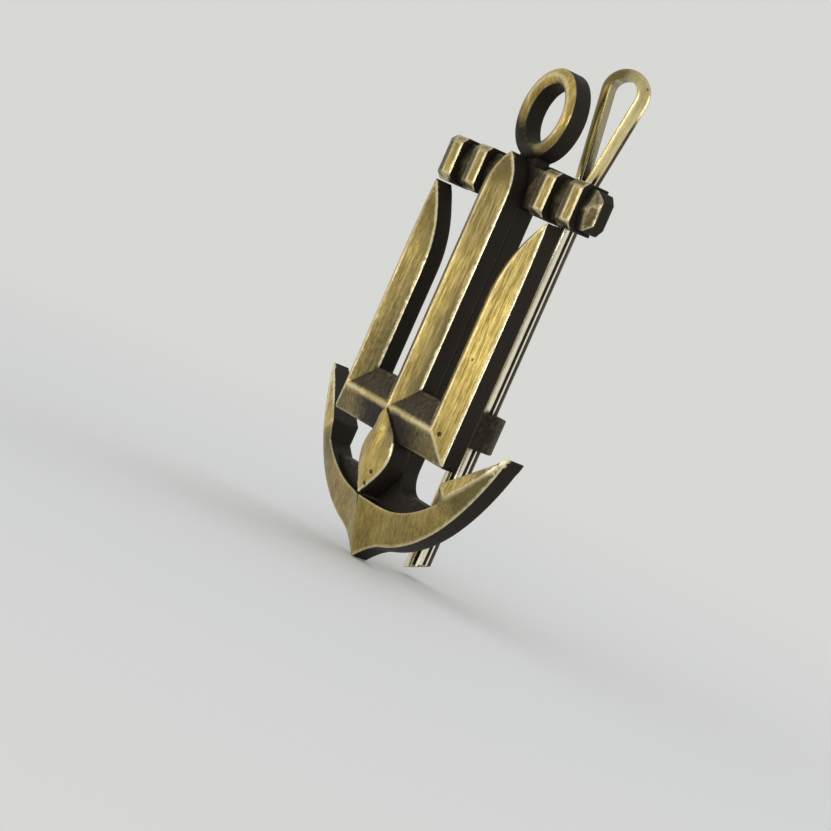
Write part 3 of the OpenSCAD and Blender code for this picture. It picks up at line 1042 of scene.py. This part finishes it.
def make_collars(material):
    """All four collars from one softened collar."""
    solid = solid_of("collar_right_inner")
    edges = convex_edges(solid, COLLAR_EDGE_A)
    wear_and_sheen_points = wear_and_sheen_along_edges(edges, collar_wear)
    round_off(solid, edges, COLLAR_SOFT)
    refine(solid, COLLAR_STEP)
    bmesh.ops.translate(solid, verts=solid.verts, vec=(-COLLAR_X * MM, 0, 0))
    one = finish_mesh(solid, "one_collar")
    sizes = {"Offset": COLLAR_X * MM, "Pitch": COLLAR_PITCH * MM}
    row = grow(one, make_collar_tree(sizes), {**sizes, "Finish": material})
    row.name = "collars"
    shifts = [side * (COLLAR_X + k * COLLAR_PITCH) - COLLAR_X for side in (1, -1) for k in (0, 1)]
    wear_and_sheen_points = [(p + Vector((s, 0, 0)), b) for s in shifts for p, b in wear_and_sheen_points]
    paint(row, wear_and_sheen_points, collar_shade, reach=0.9)
    settle(row, "brass_collars", material, "badge",
           ["collar_left_outer", "collar_left_inner", "collar_right_inner", "collar_right_outer"])


def make_wire_tree(sizes):
    """Half-round wire swept along a path, its flat side on the path, its round side outwards."""
    tree, given, out = new_tree("bent_wire", sizes)
    path = add_node(tree, "GeometryNodeMeshToCurve", {"Mesh": given["Geometry"]})
    outward = add_node(tree, "GeometryNodeInputNamedAttribute", {"Name": "outward"},
                       data_type="FLOAT_VECTOR")
    turned = add_node(tree, "GeometryNodeSetCurveNormal", {"Curve": path.outputs[0]}, mode="FREE")
    put(tree, turned.inputs["Normal"], outward.outputs[0])
    half = calc(tree, "ARCCOSINE", calc(tree, "DIVIDE", given["Flat"], given["Radius"]))
    arc = add_node(tree, "GeometryNodeCurveArc", {
        "Resolution": WIRE_POINTS, "Radius": given["Radius"],
        "Start Angle": calc(tree, "MULTIPLY", half, -1.0),
        "Sweep Angle": calc(tree, "MULTIPLY", half, 2.0)})
    closed = add_node(tree, "GeometryNodeSetSplineCyclic",
                      {"Geometry": arc.outputs[0], "Cyclic": True})
    profile = add_node(tree, "GeometryNodeTransform", {
        "Geometry": closed.outputs[0], "Translation": along_x(tree, given["Flat"], -1.0)})
    wire = add_node(tree, "GeometryNodeCurveToMesh", {
        "Curve": turned.outputs[0], "Profile Curve": profile.outputs[0], "Fill Caps": True})
    return end_tree(tree, given, out, wire.outputs[0])


def pin_path():
    """Points of the pin's flat side in its own plane, with the outward direction at each."""
    flat = LEG_GAP / 2
    eye_r = EYE_W / 2 - (PIN_R - flat)
    eye_z = PIN_NECK_Z + EYE_L - EYE_W / 2
    rise = eye_z - PIN_NECK_Z
    lean = math.asin(eye_r / math.hypot(rise, flat)) - math.atan(flat / rise)
    strand = math.sqrt(rise ** 2 + flat ** 2 - eye_r ** 2)
    bend_l = 1.2
    half = [((flat, z), (1.0, 0.0))
            for z in np.linspace(PIN_END_Z - 0.2, PIN_NECK_Z - bend_l / 2, 60)]
    for share in np.linspace(0, 1, 9):
        bend = lean * share
        s = (share - 0.5) * bend_l
        along = max(0.0, s)
        u = flat + (along * math.sin(lean) if s > 0 else 0.0)
        z = PIN_NECK_Z + (along * math.cos(lean) if s > 0 else s)
        half.append(((u, z), (math.cos(bend), -math.sin(bend))))
    for length in np.linspace(bend_l / 2, strand, 24)[1:]:
        half.append(((flat + length * math.sin(lean), PIN_NECK_Z + length * math.cos(lean)),
                     (math.cos(lean), -math.sin(lean))))
    for angle in np.linspace(-lean, math.pi / 2, 30)[1:]:
        out = (math.cos(angle), math.sin(angle))
        half.append(((eye_r * out[0], eye_z + eye_r * out[1]), out))
    back = [((-u, z), (-a, b)) for (u, z), (a, b) in reversed(half[:-1])]
    return half + back


def widen_corners(solid):
    """Drops the points next to the wire's two corners, so that their rounding has room."""
    solid.verts.ensure_lookup_table()
    moves = {}
    for first in range(0, len(solid.verts), WIRE_POINTS):
        ring = solid.verts[first:first + WIRE_POINTS]
        for k in range(1, CORNER_SPARE + 1):
            moves[ring[k]] = ring[CORNER_SPARE + 1]
            moves[ring[-1 - k]] = ring[-2 - CORNER_SPARE]
    bmesh.ops.weld_verts(solid, targetmap=moves)


def nip_ends(solid, axis, across):
    """Cuts the legs off on a slant and returns the faces that close them."""
    slant = math.radians(NIP_A)
    foot = (axis - across * PIN_R + Vector((0, 0, PIN_END_Z))) * MM
    bmesh.ops.bisect_plane(
        solid, geom=solid.verts[:] + solid.edges[:] + solid.faces[:], plane_co=foot,
        plane_no=Vector((0, 0, math.cos(slant))) - across * math.sin(slant), clear_inner=True)
    return bmesh.ops.holes_fill(solid, edges=[e for e in solid.edges if e.is_boundary])["faces"]


def make_pin(material):
    """Split pin: one wire bent into an eye and two legs, with soft edges along it."""
    path = pin_path()
    across = Vector((ACROSS_X, ACROSS_Y, 0))
    axis = Vector((0, PIN_Y, 0))
    mesh = bpy.data.meshes.new("pin_path")
    points = [(axis + across * u + Vector((0, 0, z))) * MM for (u, z), _ in path]
    mesh.from_pydata(points, [(i, i + 1) for i in range(len(points) - 1)], [])
    layer = mesh.attributes.new("outward", "FLOAT_VECTOR", "POINT")
    outward = [across * a + Vector((0, 0, b)) for _, (a, b) in path]
    layer.data.foreach_set("vector", [c for direction in outward for c in direction])
    sizes = {"Radius": PIN_R * MM, "Flat": LEG_GAP / 2 * MM}
    wire = grow(mesh, make_wire_tree(sizes), {**sizes, "Finish": material})
    solid = bmesh.new()
    solid.from_mesh(wire)
    widen_corners(solid)
    bmesh.ops.remove_doubles(solid, verts=solid.verts, dist=DOUBLES)
    bmesh.ops.recalc_face_normals(solid, faces=solid.faces)
    ends = nip_ends(solid, axis, across)
    bmesh.ops.recalc_face_normals(solid, faces=solid.faces)
    corners = [e for e in convex_edges(solid, WIRE_EDGE_A)
               if not any(f in ends for f in e.link_faces)]
    round_off(solid, corners, WIRE_SOFT, 2)
    refine(solid, WIRE_STEP)
    mesh = finish_mesh(solid, "split_pin")
    paint(mesh, pin_painted_highlights(), pin_shade)
    settle(mesh, "brass_split_pin", material, "pin", ["split_pin"])


make_camera()
make_world()
for lamp in LAMPS:
    make_lamp(*lamp)
make_stage()

brushed_lines = make_brushed_group()
tarnish_and_painted_light_marks = make_tarnish_and_painted_light_group()
# Badge brass: gold and olive grain, pale for rubbed edges and painted highlights, a painted dimming
# colour, and a dark one for oxide and painted shade
brass_wear_and_painted_light = make_brass(
    "brass_wear_and_painted_light", gold=rgb(218, 192, 114), olive=rgb(126, 104, 52), pale=rgb(244, 232, 190),
    painted_dim=rgb(98, 89, 62), patina_and_shade=rgb(41, 35, 28), rough=0.27, bump=0.4)
# Darker copy of the brass for the lugs behind the badge, as painted shade
lug_brass_painted_shade = make_brass(
    "lug_brass_painted_shade", gold=rgb(150, 128, 72), olive=rgb(96, 80, 46), pale=rgb(214, 196, 140),
    painted_dim=rgb(84, 74, 50), patina_and_shade=rgb(38, 31, 27), rough=0.32, bump=0.4)
wire_brass = make_brass(
    "wire_brass", gold=rgb(238, 224, 170), olive=rgb(190, 170, 110), pale=rgb(252, 246, 226),
    painted_dim=rgb(112, 98, 54), patina_and_shade=rgb(44, 37, 28), rough=0.26, bump=0.08)

dress("anchor", brass_wear_and_painted_light, ANCHOR_SOFT, anchor_shade, anchor_wear_and_sheen, FLUKE_TIPS, domed=arm_dome)
dress("trident", brass_wear_and_painted_light, TRIDENT_SOFT, trident_shade, trident_wear_and_sheen,
      SPEAR_TIPS + PRONG_TIPS + [CROSSING], domed=leaf_dome, crossing=CROSSING)
dress("stock_bar", brass_wear_and_painted_light, STOCK_SOFT, stock_shade, stock_wear)
dress("upper_lug", lug_brass_painted_shade, LUG_SOFT, lug_shade, lug_wear)
dress("lower_lug", lug_brass_painted_shade, LUG_SOFT, lug_shade, lug_wear)
make_collars(brass_wear_and_painted_light)
make_ring(brass_wear_and_painted_light)
make_pin(wire_brass)

bpy.context.scene.view_settings.view_transform = "Standard"
